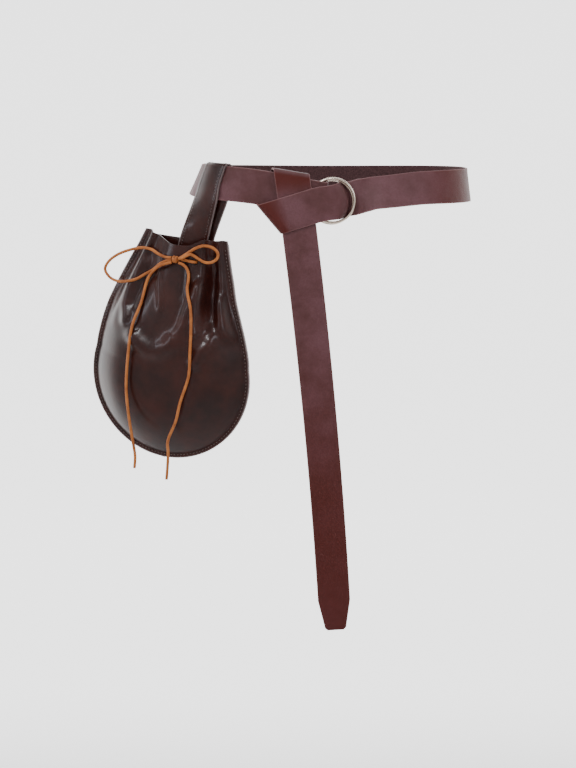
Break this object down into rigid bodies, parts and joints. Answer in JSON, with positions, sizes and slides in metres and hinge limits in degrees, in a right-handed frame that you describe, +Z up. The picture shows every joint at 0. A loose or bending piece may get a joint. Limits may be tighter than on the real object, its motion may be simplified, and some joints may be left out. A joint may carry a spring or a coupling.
{
  "type": "medieval belt pouch on its ring belt",
  "caption": "Round leather drawstring pouch hanging by its loop on a leather ring belt, tied with a knot and a long hanging end.",
  "frame": {"origin": "middle of the waist loop at belt height, where a waist or a stand goes through", "axes": "+Z up along the wearer, -Y to the wearer's front where the rings and the knot are, +X to the right in the front view"},
  "size_m": [0.4493, 0.2364, 0.5472],
  "materials": {
    "belt_leather": "satin",
    "pouch_leather": "glossy",
    "cord_leather": "matt",
    "pale_brass": "polished"
  },
  "bodies": {
    "root": {"belt_strap": "belt_leather", "ring_front": "pale_brass", "ring_back": "pale_brass", "pouch_front": "pouch_leather", "pouch_back": "pouch_leather", "belt_loop": "pouch_leather", "bow_knot": "cord_leather", "bow_loop_left": "cord_leather", "bow_loop_right": "cord_leather", "drawstring_tail_left": "cord_leather", "drawstring_tail_right": "cord_leather", "drawstring_neck": "cord_leather"}
  },
  "joints": []
}
